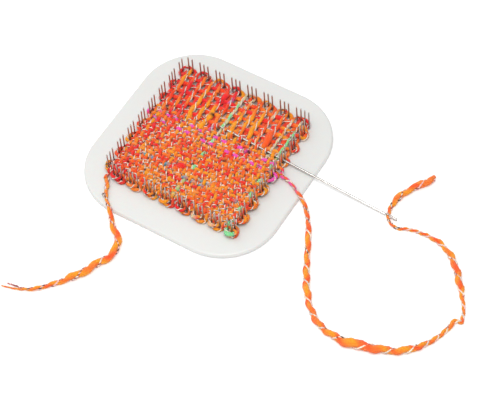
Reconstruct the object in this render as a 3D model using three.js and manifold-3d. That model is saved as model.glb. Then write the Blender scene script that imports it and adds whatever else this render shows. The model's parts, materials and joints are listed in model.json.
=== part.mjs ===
// Small pin loom with a half-woven square on it: a flat board, rows of steel pins round a square,
// the cloth, and a long needle that carries the working yarn through the next row.
// Millimetres, +Z up. The origin is the centre of the board's underside, which lies on the table.
// +X runs from the left pin row to the right one, +Y from the near row to the far row.
import * as THREE from "three";
import { mergeVertices } from "three/addons/utils/BufferGeometryUtils.js";
import Module from "manifold-3d";

const wasm = await Module();
wasm.setup();

// Board
const BOARD_SIDE = 143;
const BOARD_THICKNESS = 4;
const BOARD_CORNER_RADIUS = 40;
const BOARD_EDGE_ROUND = 1.8;

// Pins: they stand on a square grid, and the cloth's yarns run between them
const PIN_PITCH = 3.175;
const PITCHES_PER_SIDE = 31;
const PIN_DIAMETER = 1.0;
const PIN_HEIGHT = 18;
const PIN_SIDES = 8;

// Foot strip that joins the pins of one group, let into the board
const STRIP_WIDTH = 1.8;
const STRIP_DEPTH = 2.4;
const STRIP_END = 0.9;

// Cloth
const CLOTH_THICKNESS = 6.4;
const LOOP_REACH = 3.4; // how far the yarn loops stand outside the pin row

// Needle
const NEEDLE_LENGTH = 138;
const NEEDLE_DIAMETER = 1.6;
const NEEDLE_POINT_LENGTH = 7;
const NEEDLE_POINT_DIAMETER = 0.5;
const NEEDLE_SIDES = 12;
const NEEDLE_ROW = 20.5; // the row that it is being woven through, in pitches from the near row
const NEEDLE_TIP_PAST_MIDDLE = 2.8; // how far past the middle of the row its tip has come
const NEEDLE_ABOVE_BOARD = 3.6; // where it passes the right pin row
const NEEDLE_SKEW = 0.73; // degrees that its tip points towards the far row
const NEEDLE_TRAVEL = 40; // how far it slides on along its row
const EYE_LENGTH = 8.5;
const EYE_WIDTH = 1.3;
const EYE_WALL = 0.5;
const EYE_BLADE_THICKNESS = 1.1;

// Yarn
const YARN_DIAMETER = 3.8;
const YARN_SIDES = 8;
const YARN_STEP = 8;

// Clearances
const TOUCH_GAP = 0.3; // between pieces that touch on the real loom
const PIN_CLEARANCE = 0.4; // between a pin and the cloth that is looped round it
const NEEDLE_CLEARANCE = 0.45; // between the needle and the cloth on each side of it

const boardTop = BOARD_THICKNESS;
const gridHalf = (PIN_PITCH * PITCHES_PER_SIDE) / 2;
const onGrid = (pitches) => pitches * PIN_PITCH - gridHalf;

const finishes = {
  board: { color: 0xe9e9e6, roughness: 0.45, metalness: 0 },
  pins: { color: 0xa59a92, roughness: 0.3, metalness: 1 },
  needle: { color: 0xc9c6c0, roughness: 0.22, metalness: 1 },
  cloth: { color: 0xe8562a, roughness: 0.95, metalness: 0 },
  yarn: { color: 0xff8a2e, roughness: 0.95, metalness: 0 },
};

const loom = new THREE.Group();

function addPiece(name, geometry, finish) {
  const mesh = new THREE.Mesh(geometry, new THREE.MeshStandardMaterial(finishes[finish]));
  mesh.name = name;
  loom.add(mesh);
  return mesh;
}

function toSolid(geometry) {
  const bare = geometry.clone();
  bare.deleteAttribute("normal");
  bare.deleteAttribute("uv");
  const merged = mergeVertices(bare, 1e-4);
  return new wasm.Manifold(
    new wasm.Mesh({
      numProp: 3,
      vertProperties: new Float32Array(merged.attributes.position.array),
      triVerts: new Uint32Array(merged.index.array),
    }),
  );
}

function toGeometry(solid) {
  const mesh = solid.getMesh();
  const geometry = new THREE.BufferGeometry();
  geometry.setAttribute("position", new THREE.BufferAttribute(mesh.vertProperties, 3));
  geometry.setIndex(new THREE.BufferAttribute(mesh.triVerts, 1));
  geometry.computeVertexNormals();
  return geometry;
}

// A closed block from one corner to the opposite one.
function block(low, high) {
  const size = high.map((value, axis) => value - low[axis]);
  const geometry = new THREE.BoxGeometry(...size);
  geometry.translate(...low.map((value, axis) => value + size[axis] / 2));
  return geometry;
}

// Pin groups. Going along a side, every fourth place is left free, for the yarn to turn through.
const sides = {
  near: { free: 1, last: 31, place: (k) => [onGrid(k), -gridHalf] },
  far: { free: 3, last: 31, place: (k) => [onGrid(k), gridHalf] },
  left: { free: 0, last: 30, place: (k) => [-gridHalf, onGrid(k)] },
  right: { free: 2, last: 30, place: (k) => [gridHalf, onGrid(k)] },
};

function pinGroups(side) {
  const { free, last } = sides[side];
  const groups = [[]];
  for (let k = 1; k <= last; k += 1) {
    const cornerPin = k === PITCHES_PER_SIDE; // the two right-hand corners always have a pin
    if (k % 4 !== free || cornerPin) {
      groups.at(-1).push(k);
    } else if (groups.at(-1).length) {
      groups.push([]);
    }
  }
  return groups.filter((group) => group.length);
}

// Low and high corners, in plan, of a strip of the given width along one pin group.
function stripPlan(side, group, width, end) {
  const first = sides[side].place(group[0]);
  const final = sides[side].place(group.at(-1));
  const alongX = side === "near" || side === "far";
  const grow = alongX ? [end, width / 2] : [width / 2, end];
  return {
    low: [first[0] - grow[0], first[1] - grow[1]],
    high: [final[0] + grow[0], final[1] + grow[1]],
  };
}

function pinGroup(side, group) {
  const stripBottom = boardTop - STRIP_DEPTH;
  const { low, high } = stripPlan(side, group, STRIP_WIDTH, STRIP_END);
  let solid = toSolid(block([...low, stripBottom], [...high, boardTop]));
  const pinLength = PIN_HEIGHT + STRIP_DEPTH / 2;
  for (const k of group) {
    const [x, y] = sides[side].place(k);
    const pin = new THREE.CylinderGeometry(
      PIN_DIAMETER / 2,
      PIN_DIAMETER / 2,
      pinLength,
      PIN_SIDES,
    );
    pin.rotateX(Math.PI / 2);
    pin.translate(x, y, boardTop + PIN_HEIGHT - pinLength / 2);
    solid = solid.add(toSolid(pin));
  }
  return toGeometry(solid);
}

function roundedSquare(side, radius) {
  const half = side / 2;
  const inner = half - radius;
  const shape = new THREE.Shape();
  shape.moveTo(-inner, -half);
  shape.lineTo(inner, -half);
  shape.absarc(inner, -inner, radius, -Math.PI / 2, 0);
  shape.lineTo(half, inner);
  shape.absarc(inner, inner, radius, 0, Math.PI / 2);
  shape.lineTo(-inner, half);
  shape.absarc(-inner, inner, radius, Math.PI / 2, Math.PI);
  shape.lineTo(-half, -inner);
  shape.absarc(-inner, -inner, radius, Math.PI, 1.5 * Math.PI);
  return shape;
}

function board() {
  const round = Math.min(BOARD_EDGE_ROUND, 0.45 * BOARD_THICKNESS);
  const outline = roundedSquare(BOARD_SIDE - 2 * round, BOARD_CORNER_RADIUS - round);
  const plate = new THREE.ExtrudeGeometry(outline, {
    depth: BOARD_THICKNESS - 2 * round,
    bevelThickness: round,
    bevelSize: round,
    bevelSegments: 3,
    curveSegments: 8,
  });
  plate.translate(0, 0, round);
  let solid = toSolid(plate);
  for (const side of Object.keys(sides)) {
    for (const group of pinGroups(side)) {
      const width = STRIP_WIDTH + 2 * TOUCH_GAP;
      const { low, high } = stripPlan(side, group, width, STRIP_END + TOUCH_GAP);
      const slotBottom = boardTop - STRIP_DEPTH - TOUCH_GAP;
      solid = solid.subtract(toSolid(block([...low, slotBottom], [...high, boardTop + 1])));
    }
  }
  return toGeometry(solid);
}

// The needle's line: its eye end rests on the table, and it passes the right pin row midway
// between two pins.
const needleRowY = onGrid(NEEDLE_ROW);
const skewSlope = Math.tan(THREE.MathUtils.degToRad(NEEDLE_SKEW));
const eyeEndX = NEEDLE_LENGTH - NEEDLE_TIP_PAST_MIDDLE;
const eyeEnd = new THREE.Vector3(
  eyeEndX,
  needleRowY - (eyeEndX - gridHalf) * skewSlope,
  EYE_WIDTH / 2 + EYE_WALL + TOUCH_GAP,
);
const atPinRow = new THREE.Vector3(gridHalf, needleRowY, boardTop + NEEDLE_ABOVE_BOARD);
const needleDirection = atPinRow.clone().sub(eyeEnd).normalize();

// Along its own +X, from the eye end at the origin to the point.
function needle() {
  const radius = NEEDLE_DIAMETER / 2;
  const bladeWidth = EYE_WIDTH + 2 * EYE_WALL;
  const bladeLength = EYE_LENGTH + 2 * EYE_WALL;
  const shaftStart = bladeLength - 2 * EYE_WALL;
  const shaft = new THREE.LatheGeometry(
    [
      new THREE.Vector2(0, shaftStart),
      new THREE.Vector2(radius, shaftStart + radius),
      new THREE.Vector2(radius, NEEDLE_LENGTH - NEEDLE_POINT_LENGTH),
      new THREE.Vector2(NEEDLE_POINT_DIAMETER / 2, NEEDLE_LENGTH - NEEDLE_POINT_DIAMETER / 2),
      new THREE.Vector2(0, NEEDLE_LENGTH),
    ],
    NEEDLE_SIDES,
  );
  shaft.rotateZ(-Math.PI / 2);
  const blade = new THREE.Shape();
  slotOutline(blade, bladeWidth / 2, bladeLength);
  const bladePlate = new THREE.ExtrudeGeometry(blade, {
    depth: EYE_BLADE_THICKNESS,
    bevelEnabled: false,
    curveSegments: 6,
  });
  bladePlate.translate(0, 0, -EYE_BLADE_THICKNESS / 2);
  const eye = new THREE.Shape();
  slotOutline(eye, EYE_WIDTH / 2, EYE_LENGTH);
  const eyePlug = new THREE.ExtrudeGeometry(eye, {
    depth: 2 * NEEDLE_DIAMETER,
    bevelEnabled: false,
    curveSegments: 6,
  });
  eyePlug.translate(EYE_WALL, 0, -NEEDLE_DIAMETER);
  const solid = toSolid(bladePlate).add(toSolid(shaft)).subtract(toSolid(eyePlug));
  const geometry = toGeometry(solid);
  geometry.rotateX(Math.PI / 2); // the eye opens sideways, for the yarn to pass level through it
  return geometry;
}

// A slot with round ends, from x = 0 to its length.
function slotOutline(shape, radius, length) {
  shape.moveTo(radius, -radius);
  shape.lineTo(length - radius, -radius);
  shape.absarc(length - radius, 0, radius, -Math.PI / 2, Math.PI / 2);
  shape.lineTo(radius, radius);
  shape.absarc(radius, 0, radius, Math.PI / 2, 1.5 * Math.PI);
}

// The cloth between and around the pins, from one row to another, cut clear of every pin.
function cloth(lowY, highY) {
  const reach = gridHalf + PIN_DIAMETER / 2 + LOOP_REACH;
  const bottom = boardTop + TOUCH_GAP;
  const top = bottom + CLOTH_THICKNESS;
  let solid = toSolid(block([-reach, lowY, bottom], [reach, highY, top]));
  for (const side of Object.keys(sides)) {
    for (const group of pinGroups(side)) {
      const room = PIN_DIAMETER / 2 + PIN_CLEARANCE;
      const { low, high } = stripPlan(side, group, 2 * room, room);
      solid = solid.subtract(toSolid(block([...low, bottom - 1], [...high, top + 1])));
    }
  }
  return toGeometry(solid);
}

function yarn(points) {
  const path = new THREE.CatmullRomCurve3(points.map((point) => new THREE.Vector3(...point)));
  const section = new THREE.Shape();
  for (let side = 0; side < YARN_SIDES; side += 1) {
    const angle = (2 * Math.PI * side) / YARN_SIDES;
    const point = [Math.cos(angle), Math.sin(angle)].map((value) => (value * YARN_DIAMETER) / 2);
    if (side === 0) {
      section.moveTo(...point);
    } else {
      section.lineTo(...point);
    }
  }
  return new THREE.ExtrudeGeometry(section, {
    steps: Math.ceil(path.getLength() / YARN_STEP),
    extrudePath: path,
  });
}

// Where the first yarn's end lies: out of the near left corner, over the board's edge, on the table.
const START_TAIL = [
  [-46.4, -53.8, 6.3],
  [-45.6, -56.6, 6.3],
  [-43.8, -59.4, 6.3],
  [-41.2, -62.4, 6.3],
  [-38.4, -65.8, 6.3],
  [-35.2, -69.4, 6.3],
  [-31.4, -73.2, 5.6],
  [-27.8, -77.0, 3.9],
  [-23.4, -81.0, 2.1],
  [-18.0, -85.0, 2.0],
  [-14.4, -89.2, 2.0],
  [-12.3, -93.9, 2.0],
  [-11.6, -98.6, 2.0],
  [-12.6, -103.2, 2.0],
  [-15.0, -107.6, 2.0],
  [-17.2, -112.4, 2.0],
  [-19.2, -117.4, 2.0],
  [-21.8, -122.6, 2.0],
  [-25.0, -127.4, 2.0],
  [-28.4, -132.0, 2.0],
  [-31.9, -136.3, 2.0],
  [-35.6, -140.4, 2.0],
  [-39.6, -144.2, 2.0],
  [-44.2, -147.8, 2.0],
  [-49.4, -150.6, 2.0],
  [-55.2, -152.6, 2.0],
  [-61.6, -154.4, 2.0],
];

// The working yarn: out of the right edge, across the table in a wide loop, back to the needle's eye.
const WORKING_YARN = [
  [53.8, 5.6, 7.6],
  [56.4, 5.2, 7.0],
  [60.0, 4.5, 6.6],
  [64.4, 2.7, 6.3],
  [68.6, 0.4, 6.3],
  [72.6, -2.0, 6.2],
  [76.6, -4.6, 4.8],
  [80.8, -8.6, 2.8],
  [85.0, -14.0, 2.0],
  [89.4, -21.0, 2.0],
  [95.2, -31.4, 2.0],
  [100.4, -41.2, 2.0],
  [105.4, -50.6, 2.0],
  [110.8, -59.4, 2.0],
  [117.4, -67.6, 2.0],
  [125.0, -74.6, 2.0],
  [133.8, -79.2, 2.0],
  [144.2, -81.2, 2.0],
  [154.4, -81.2, 2.0],
  [164.0, -78.6, 2.0],
  [173.4, -75.2, 2.0],
  [182.2, -71.4, 2.0],
  [190.0, -65.6, 2.0],
  [196.2, -57.2, 2.0],
  [200.6, -47.8, 2.0],
  [203.0, -39.4, 2.0],
  [206.2, -32.8, 2.0],
  [205.8, -26.4, 2.0],
  [201.0, -17.8, 2.0],
  [194.6, -9.2, 2.0],
  [187.6, -0.6, 2.0],
  [179.8, 6.8, 2.0],
  [170.8, 12.2, 2.0],
  [161.2, 14.3, 2.0],
  [151.4, 14.0, 2.0],
  [143.6, 11.6, 2.0],
  [138.4, 9.2, 2.0],
  [133.8, 8.2, 2.0],
  [130.2, 9.8, 2.0],
  [128.9, 13.4, 2.0],
];

// The yarn's free end, past the eye.
const FREE_END = [
  [128.4, 16.4, 2.0],
  [127.6, 19.8, 2.0],
  [127.0, 24.2, 2.0],
  [127.3, 29.4, 2.0],
  [128.7, 34.8, 2.0],
  [131.2, 40.0, 2.0],
  [134.0, 44.8, 2.0],
  [136.8, 49.0, 2.0],
  [139.0, 53.2, 2.0],
  [140.2, 57.8, 2.0],
];

addPiece("base_board", board(), "board");
for (const side of Object.keys(sides)) {
  pinGroups(side).forEach((group, index) => {
    addPiece(`pins_${side}_${index + 1}`, pinGroup(side, group), "pins");
  });
}

const needleMesh = addPiece("weaving_needle", needle(), "needle");
needleMesh.position.copy(eyeEnd);
needleMesh.quaternion.setFromUnitVectors(new THREE.Vector3(1, 0, 0), needleDirection);

// The needle slides in the gap between the finished rows and the warp that is still open.
const reachPastPins = gridHalf + PIN_DIAMETER / 2 + LOOP_REACH;
const needleDrift = (NEEDLE_LENGTH + NEEDLE_TRAVEL - (eyeEndX - gridHalf)) * skewSlope;
const channelNear = needleRowY - NEEDLE_DIAMETER / 2 - NEEDLE_CLEARANCE;
const channelFar = needleRowY + needleDrift + NEEDLE_DIAMETER / 2 + NEEDLE_CLEARANCE;
addPiece("woven_cloth", cloth(-reachPastPins, channelNear), "cloth");
addPiece("open_warp", cloth(channelFar, reachPastPins), "cloth");

addPiece("start_tail", yarn(START_TAIL), "yarn");
addPiece("working_yarn", yarn(WORKING_YARN), "yarn");
addPiece("yarn_free_end", yarn(FREE_END), "yarn");

export default loom;
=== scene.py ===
import json
import math
import random

import bmesh
import bpy
import numpy as np
from mathutils import Matrix, Quaternion, Vector


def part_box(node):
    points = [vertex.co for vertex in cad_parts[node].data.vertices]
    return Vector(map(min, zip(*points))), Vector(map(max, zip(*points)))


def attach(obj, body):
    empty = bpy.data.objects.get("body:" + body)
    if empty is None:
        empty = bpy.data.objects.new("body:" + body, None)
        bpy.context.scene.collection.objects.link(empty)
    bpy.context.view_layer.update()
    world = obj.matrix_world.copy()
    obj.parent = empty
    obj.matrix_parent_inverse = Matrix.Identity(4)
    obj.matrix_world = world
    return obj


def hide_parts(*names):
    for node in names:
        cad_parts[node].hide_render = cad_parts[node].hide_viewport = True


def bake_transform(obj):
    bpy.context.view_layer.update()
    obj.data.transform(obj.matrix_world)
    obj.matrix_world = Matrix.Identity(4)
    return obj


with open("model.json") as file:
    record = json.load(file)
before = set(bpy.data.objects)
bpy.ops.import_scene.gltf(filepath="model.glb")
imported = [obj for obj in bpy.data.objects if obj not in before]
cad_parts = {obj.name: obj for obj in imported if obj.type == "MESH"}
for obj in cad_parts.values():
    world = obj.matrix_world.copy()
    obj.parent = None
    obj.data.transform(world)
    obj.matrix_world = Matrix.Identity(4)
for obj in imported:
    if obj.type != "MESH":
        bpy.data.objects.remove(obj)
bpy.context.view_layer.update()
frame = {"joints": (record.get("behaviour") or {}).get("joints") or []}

bl_info = {
    "name": "Pin loom",
    "version": (1, 0, 0),
    "blender": (4, 5, 0),
    "location": "View3D > Sidebar > Pin loom",
    "description": "Builds a small pin loom with a half-woven square of thick-and-thin yarn",
    "category": "Add Mesh",
}

MM = 0.001

# The grid that the pins stand on, read from the pin groups themselves.
PITCHES = 31
WOVEN_TO = 19  # the rows reach this far, in pitches, and past it the layers still lie open


def middle(node):
    low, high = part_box(node)
    return (low + high) / 2


LEFT_ROW_X = middle("pins_left_1").x
RIGHT_ROW_X = middle("pins_right_1").x
PITCH = (RIGHT_ROW_X - LEFT_ROW_X) / PITCHES
BOARD_LOW, BOARD_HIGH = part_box("base_board")
BOARD_TOP = BOARD_HIGH.z
PIN_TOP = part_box("pins_near_1")[1].z
NEEDLE_LOW, NEEDLE_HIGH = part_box("weaving_needle")
NEEDLE_AXIS = Vector(
    next(j for j in frame["joints"] if j["name"] == "needle_through_row")["axis"]
).normalized()


def on_grid(x, y, height=0.0):
    """A point given in pitches from the near left corner and in metres above the board."""
    return (LEFT_ROW_X + x * PITCH, LEFT_ROW_X + y * PITCH, BOARD_TOP + height)


# Routes of the yarn's free stretches, in metres. They keep within 3 mm of the part's own
# tubes, and turn more sharply than those at the kink.
START_TAIL = [
    (-0.0469, -0.0518, 0.0063), (-0.0454, -0.0544, 0.0063), (-0.0436, -0.0572, 0.0063),
    (-0.0416, -0.0606, 0.0063), (-0.0390, -0.0650, 0.0063), (-0.0356, -0.0689, 0.0063),
    (-0.0315, -0.0723, 0.0058), (-0.0286, -0.0756, 0.0046), (-0.0254, -0.0792, 0.0029),
    (-0.0218, -0.0826, 0.0020), (-0.0176, -0.0854, 0.0020), (-0.0142, -0.0892, 0.0020),
    (-0.0124, -0.0936, 0.0020), (-0.0116, -0.0982, 0.0020), (-0.0124, -0.1028, 0.0020),
    (-0.0148, -0.1071, 0.0020), (-0.0170, -0.1117, 0.0020), (-0.0188, -0.1164, 0.0020),
    (-0.0208, -0.1210, 0.0020), (-0.0234, -0.1252, 0.0020), (-0.0264, -0.1292, 0.0020),
    (-0.0294, -0.1332, 0.0020), (-0.0326, -0.1370, 0.0020), (-0.0360, -0.1407, 0.0020),
    (-0.0394, -0.1443, 0.0020), (-0.0432, -0.1473, 0.0020), (-0.0476, -0.1498, 0.0020),
    (-0.0522, -0.1518, 0.0020), (-0.0570, -0.1532, 0.0020), (-0.0616, -0.1544, 0.0020),
]
WORKING_YARN = [
    (0.0538, 0.0052, 0.0074), (0.0564, 0.0050, 0.0070), (0.0600, 0.0044, 0.0066),
    (0.0640, 0.0028, 0.0064), (0.0680, 0.0006, 0.0064), (0.0720, -0.0017, 0.0060),
    (0.0760, -0.0040, 0.0045), (0.0794, -0.0070, 0.0030), (0.0826, -0.0106, 0.0021),
    (0.0856, -0.0148, 0.0020), (0.0884, -0.0192, 0.0020), (0.0912, -0.0236, 0.0020),
    (0.0956, -0.0322, 0.0020), (0.1002, -0.0410, 0.0020), (0.1050, -0.0498, 0.0020),
    (0.1104, -0.0586, 0.0020), (0.1164, -0.0666, 0.0020), (0.1238, -0.0736, 0.0020),
    (0.1324, -0.0788, 0.0020), (0.1422, -0.0810, 0.0020), (0.1522, -0.0814, 0.0020),
    (0.1618, -0.0792, 0.0020), (0.1712, -0.0760, 0.0020), (0.1804, -0.0724, 0.0020),
    (0.1884, -0.0670, 0.0020), (0.1950, -0.0588, 0.0020), (0.1998, -0.0498, 0.0020),
    (0.2025, -0.0410, 0.0020), (0.2032, -0.0364, 0.0020), (0.2038, -0.0338, 0.0021),
    (0.2056, -0.0327, 0.0023), (0.2080, -0.0321, 0.0023), (0.2074, -0.0304, 0.0022),
    (0.2062, -0.0276, 0.0020), (0.2046, -0.0232, 0.0020), (0.1986, -0.0144, 0.0020),
    (0.1923, -0.0064, 0.0020), (0.1860, 0.0012, 0.0020), (0.1786, 0.0078, 0.0020),
    (0.1696, 0.0126, 0.0020), (0.1598, 0.0144, 0.0020), (0.1494, 0.0138, 0.0020),
    (0.1434, 0.0122, 0.0020), (0.1392, 0.0102, 0.0020), (0.1352, 0.0102, 0.0020),
    (0.1320, 0.0117, 0.0020), (0.1298, 0.0134, 0.0020),
]
FREE_END = [
    (0.1286, 0.0154, 0.0020), (0.1274, 0.0184, 0.0020), (0.1268, 0.0220, 0.0020),
    (0.1269, 0.0262, 0.0020), (0.1275, 0.0304, 0.0020), (0.1288, 0.0352, 0.0020),
    (0.1312, 0.0400, 0.0020), (0.1336, 0.0442, 0.0020), (0.1364, 0.0482, 0.0020),
    (0.1388, 0.0526, 0.0020), (0.1399, 0.0576, 0.0020),
]
ROUTE_RADIUS = 1.9 * MM  # the radius that the routes' heights allow for

# How thick the yarn is along each free stretch: share of its length, diameter in millimetres.
START_TAIL_THICKNESS = [
    (0, 2.3), (0.055, 2.3), (0.103, 1.7), (0.145, 1.6), (0.179, 2.6), (0.248, 3), (0.317, 3.9),
    (0.359, 4.6), (0.428, 4.3), (0.497, 4.7), (0.538, 4.2), (0.579, 4.7), (0.662, 4.4),
    (0.703, 3), (0.738, 3.1), (0.779, 2.2), (0.814, 2.5), (0.855, 2), (0.903, 1.3), (1, 0.9),
]
WORKING_THICKNESS = [
    (0, 2.2), (0.036, 1.6), (0.067, 2.3), (0.097, 2.6), (0.121, 2.3), (0.142, 3.7), (0.176, 3.6),
    (0.206, 3.4), (0.248, 3.9), (0.291, 4.1), (0.321, 3.5), (0.364, 3.9), (0.388, 3.5),
    (0.415, 4.6), (0.445, 5.9), (0.479, 5.4), (0.509, 4.6), (0.533, 3.9), (0.552, 4.4),
    (0.576, 3.5), (0.606, 2.7), (0.63, 2.2), (0.661, 2.7), (0.685, 1.8), (0.721, 1.7),
    (0.745, 2.4), (0.764, 3.9), (0.8, 3.8), (0.842, 3.8), (0.861, 2.4), (0.879, 3.2), (0.9, 2.2),
    (0.933, 1.8), (0.97, 1.7), (1, 1.4),
]
FREE_END_THICKNESS = [
    (0, 1.4), (0.06, 1.9), (0.16, 2.3), (0.26, 2.9), (0.36, 3.9), (0.46, 3.8), (0.56, 3.3),
    (0.66, 4.2), (0.76, 4.8), (0.88, 4), (1, 2.6),
]


# ---------------------------------------------------------------- settings


class StageSettings(bpy.types.PropertyGroup):
    elevation: bpy.props.FloatProperty(
        name="Elevation", description="Camera's angle above the table", default=math.radians(55.9),
        unit="ROTATION",
    )
    azimuth: bpy.props.FloatProperty(
        name="Azimuth", description="Camera's angle round the loom", default=math.radians(35.8),
        unit="ROTATION",
    )
    roll: bpy.props.FloatProperty(
        name="Roll", description="Camera's turn about its own line of sight",
        default=math.radians(-5.14), unit="ROTATION",
    )
    distance: bpy.props.FloatProperty(
        name="Distance", description="From the camera to its target", default=1.3346,
        unit="LENGTH",
    )
    target: bpy.props.FloatVectorProperty(
        name="Target", description="Point that the camera looks at",
        default=(0.04263, -0.02875, 0.004), subtype="XYZ", unit="LENGTH",
    )
    lens: bpy.props.FloatProperty(
        name="Lens", description="Focal length in millimetres on a 36 mm sensor", default=152.5,
    )
    floor_colour: bpy.props.FloatVectorProperty(
        name="Floor", description="Colour of the table", default=(0.93, 0.93, 0.93),
        subtype="COLOR",
    )
    floor_glow: bpy.props.FloatProperty(
        name="Floor glow", description="Light given off by the table, as from a light box",
        default=0.08,
    )


class BoardSettings(bpy.types.PropertyGroup):
    corner_radius: bpy.props.FloatProperty(
        name="Corner radius", description="Radius of the board's corners", default=40 * MM,
        unit="LENGTH",
    )
    edge_round: bpy.props.FloatProperty(
        name="Edge rounding", description="Rounding of the board's rim", default=1.8 * MM,
        unit="LENGTH",
    )
    colour: bpy.props.FloatVectorProperty(
        name="Colour", description="Colour of the moulded plastic", default=(0.67, 0.674, 0.655),
        subtype="COLOR",
    )


class PinSettings(bpy.types.PropertyGroup):
    diameter: bpy.props.FloatProperty(
        name="Diameter", description="Diameter of a pin", default=1.0 * MM, unit="LENGTH",
    )
    sunk: bpy.props.FloatProperty(
        name="Sunk", description="How deep a pin goes into the board", default=2.2 * MM,
        unit="LENGTH",
    )
    lean: bpy.props.FloatProperty(
        name="Lean", description="Largest lean of a pin from upright", default=math.radians(0.45),
        unit="ROTATION",
    )
    colour: bpy.props.FloatVectorProperty(
        name="Colour", description="Colour of the steel wire", default=(0.60, 0.53, 0.50),
        subtype="COLOR",
    )


class NeedleSettings(bpy.types.PropertyGroup):
    diameter: bpy.props.FloatProperty(
        name="Diameter", description="Diameter of the needle's shaft", default=1.6 * MM,
        unit="LENGTH",
    )
    eye_length: bpy.props.FloatProperty(
        name="Eye length", description="Length of the slot in the eye", default=8.5 * MM,
        unit="LENGTH",
    )
    eye_width: bpy.props.FloatProperty(
        name="Eye width", description="Width of the slot in the eye", default=1.3 * MM,
        unit="LENGTH",
    )
    eye_wall: bpy.props.FloatProperty(
        name="Eye wall", description="Steel left on each side of the slot", default=0.5 * MM,
        unit="LENGTH",
    )
    colour: bpy.props.FloatVectorProperty(
        name="Colour", description="Colour of the polished steel", default=(0.76, 0.735, 0.70),
        subtype="COLOR",
    )


class YarnSettings(bpy.types.PropertyGroup):
    weave_diameter: bpy.props.FloatProperty(
        name="Diameter in the cloth", description="Mean thickness of the yarn in the cloth",
        default=2.3 * MM, unit="LENGTH",
    )
    thread_diameter: bpy.props.FloatProperty(
        name="Thin thread", description="Thickness of the thin metallic thread",
        default=0.74 * MM, unit="LENGTH",
    )
    twist_per_diameter: bpy.props.FloatProperty(
        name="Twist", description="Length of one turn of the plies, in yarn diameters",
        default=2.7,
    )
    waviness: bpy.props.FloatProperty(
        name="Waviness", description="How far the soft single winds off the middle, in radii",
        default=0.22,
    )
    cloth_middle: bpy.props.FloatProperty(
        name="Cloth height", description="Height of the cloth's middle above the board",
        default=4.2 * MM, unit="LENGTH",
    )
    crimp: bpy.props.FloatProperty(
        name="Crimp", description="How far a thread rises or dips at each crossing",
        default=1.0 * MM, unit="LENGTH",
    )
    seed: bpy.props.IntProperty(
        name="Seed", description="Seed of the yarn's natural unevenness", default=7,
    )


# ---------------------------------------------------------------- shared helpers


def from_hex(code):
    """Linear colour, as the shaders use it, from a six-digit colour code."""
    parts = [int(code[i:i + 2], 16) / 255 for i in (0, 2, 4)]
    return tuple(p / 12.92 if p <= 0.04045 else ((p + 0.055) / 1.055) ** 2.4 for p in parts)


def add_mesh_piece(name, mesh, material, body, slot, *nodes):
    piece = bpy.data.objects.new(name, mesh)
    bpy.context.scene.collection.objects.link(piece)
    mesh.materials.clear()
    mesh.materials.append(material)
    if nodes:
        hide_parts(*nodes)
    if body:
        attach(piece, body)
    return piece


def to_mesh(shape, name, smooth=True):
    """Closes a bmesh into a mesh with its faces outwards."""
    bmesh.ops.recalc_face_normals(shape, faces=shape.faces)
    mesh = bpy.data.meshes.new(name)
    shape.to_mesh(mesh)
    shape.free()
    mesh.polygons.foreach_set("use_smooth", [smooth] * len(mesh.polygons))
    return mesh


class Shader:
    """A material's node tree, with short calls to add and join nodes."""

    def __init__(self, name):
        self.material = bpy.data.materials.new(name)
        self.material.use_nodes = True
        self.tree = self.material.node_tree
        self.surface = self.tree.nodes["Principled BSDF"]

    def add(self, kind, inputs=None, **settings):
        node = self.tree.nodes.new(kind)
        for key, value in settings.items():
            setattr(node, key, value)
        for key, value in (inputs or {}).items():
            self.put(value, node.inputs[key])
        return node

    def put(self, value, socket):
        if isinstance(value, bpy.types.NodeSocket):
            self.tree.links.new(value, socket)
        else:
            socket.default_value = value

    def finish(self, **inputs):
        for key, value in inputs.items():
            self.put(value, self.surface.inputs[key.replace("_", " ")])
        return self.material

    def bump(self, height, distance, strength=1.0):
        node = self.add("ShaderNodeBump", {"Height": height, "Distance": distance,
                                           "Strength": strength})
        return node.outputs["Normal"]

    def ramp(self, factor, stops, interpolation="LINEAR"):
        node = self.add("ShaderNodeValToRGB", {"Fac": factor})
        ramp = node.color_ramp
        ramp.interpolation = interpolation
        while len(ramp.elements) < len(stops):
            ramp.elements.new(0.5)
        for element, (place, colour) in zip(ramp.elements, stops):
            element.position = place
            element.color = (*colour, 1) if len(colour) == 3 else colour
        return node.outputs["Color"]

    def noise(self, vector, scale, detail=3.0, roughness=0.5):
        node = self.add("ShaderNodeTexNoise", {"Vector": vector, "Scale": scale,
                                               "Detail": detail, "Roughness": roughness})
        return node.outputs["Fac"]

    def object_point(self):
        return self.add("ShaderNodeTexCoord").outputs["Object"]

    def mix(self, factor, first, second, blend="MIX"):
        node = self.add("ShaderNodeMix", data_type="RGBA", blend_type=blend)
        self.put(factor, node.inputs[0])
        self.put(first, node.inputs[6])
        self.put(second, node.inputs[7])
        return node.outputs[2]


def board_plastic(colour):
    shader = Shader("satin_white_plastic")
    point = shader.object_point()
    haze = shader.noise(point, 38.0, 4.0)
    grain = shader.noise(point, 2600.0, 2.0)
    base = shader.mix(haze, (*[c * 0.975 for c in colour], 1), (*colour, 1))
    roughness = shader.add("ShaderNodeMapRange", {"Value": haze, "To Min": 0.36, "To Max": 0.46})
    return shader.finish(
        Base_Color=base,
        Roughness=roughness.outputs["Result"],
        Normal=shader.bump(grain, 0.00002, 0.35),
        IOR=1.49,
        Subsurface_Weight=0.08,
        Subsurface_Scale=0.002,
    )


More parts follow.
